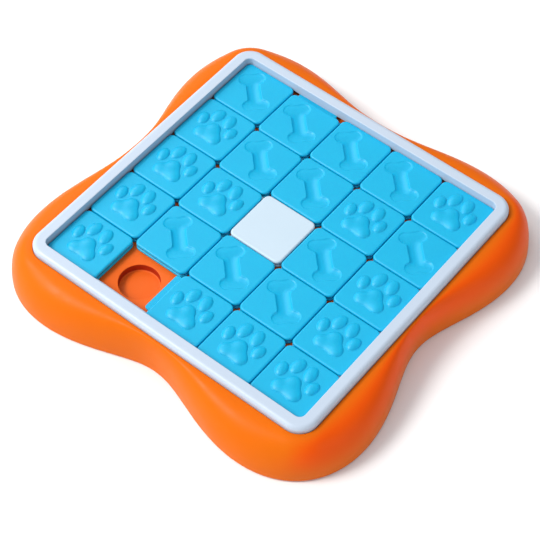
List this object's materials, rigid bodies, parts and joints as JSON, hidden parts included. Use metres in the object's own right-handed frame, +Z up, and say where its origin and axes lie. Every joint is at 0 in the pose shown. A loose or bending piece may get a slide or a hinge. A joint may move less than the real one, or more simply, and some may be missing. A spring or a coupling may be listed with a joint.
{
  "type": "sliding tile treat puzzle for dogs",
  "caption": "Square dog puzzle feeder with four rounded lobes: tongue-and-groove tiles slide over round treat wells inside a raised frame.",
  "frame": {"origin": "floor point under the middle of the tile field", "axes": "+X along the tile rows to the right, +Y from the front row to the back row, +Z up"},
  "size_m": [0.3318, 0.3318, 0.0423],
  "materials": {
    "base_orange": "satin",
    "tray_orange": "satin",
    "frame_white": "gloss",
    "tile_blue": "fine matte",
    "tile_white": "fine matte",
    "foot_rubber": "matte",
    "screw_steel": "plain"
  },
  "bodies": {
    "housing": {"base": "base_orange", "treat_tray": "tray_orange", "frame": "frame_white", "frame_screws": "screw_steel", "foot_front_left": "foot_rubber", "foot_front_right": "foot_rubber", "foot_back_right": "foot_rubber", "foot_back_left": "foot_rubber", "tile_a1_paw": "tile_blue", "tile_c1_paw": "tile_blue", "tile_d1_paw": "tile_blue", "tile_e1_paw": "tile_blue", "tile_a2_paw": "tile_blue", "tile_c2_bone": "tile_blue", "tile_d2_bone": "tile_blue", "tile_e2_paw": "tile_blue", "tile_a3_paw": "tile_blue", "tile_c3_center": "tile_white", "tile_d3_bone": "tile_blue", "tile_e3_paw": "tile_blue", "tile_a4_paw": "tile_blue", "tile_c4_bone": "tile_blue", "tile_d4_paw": "tile_blue", "tile_e4_bone": "tile_blue", "tile_a5_bone": "tile_blue", "tile_c5_bone": "tile_blue", "tile_d5_bone": "tile_blue", "tile_e5_paw": "tile_blue"},
    "tile_b2": {"tile_b2_bone": "tile_blue"},
    "tile_b3": {"tile_b3_paw": "tile_blue"},
    "tile_b4": {"tile_b4_bone": "tile_blue"},
    "tile_b5": {"tile_b5_bone": "tile_blue"}
  },
  "joints": [
    {"name": "tile_b2_slide", "type": "slide", "parent": "housing", "child": "tile_b2", "axis": [0, -1, 0], "range_m": [-0.0035, 0.0473]},
    {"name": "tile_b3_slide", "type": "slide", "parent": "housing", "child": "tile_b3", "axis": [0, -1, 0], "range_m": [-0.0035, 0.0473]},
    {"name": "tile_b4_slide", "type": "slide", "parent": "housing", "child": "tile_b4", "axis": [0, -1, 0], "range_m": [-0.0035, 0.0473]},
    {"name": "tile_b5_slide", "type": "slide", "parent": "housing", "child": "tile_b5", "axis": [0, -1, 0], "range_m": [-0.0035, 0.0473]}
  ],
  "couplings": [
    {"joint": "tile_b3_slide", "follows": "tile_b2_slide", "ratio": 1},
    {"joint": "tile_b4_slide", "follows": "tile_b2_slide", "ratio": 1},
    {"joint": "tile_b5_slide", "follows": "tile_b2_slide", "ratio": 1}
  ]
}
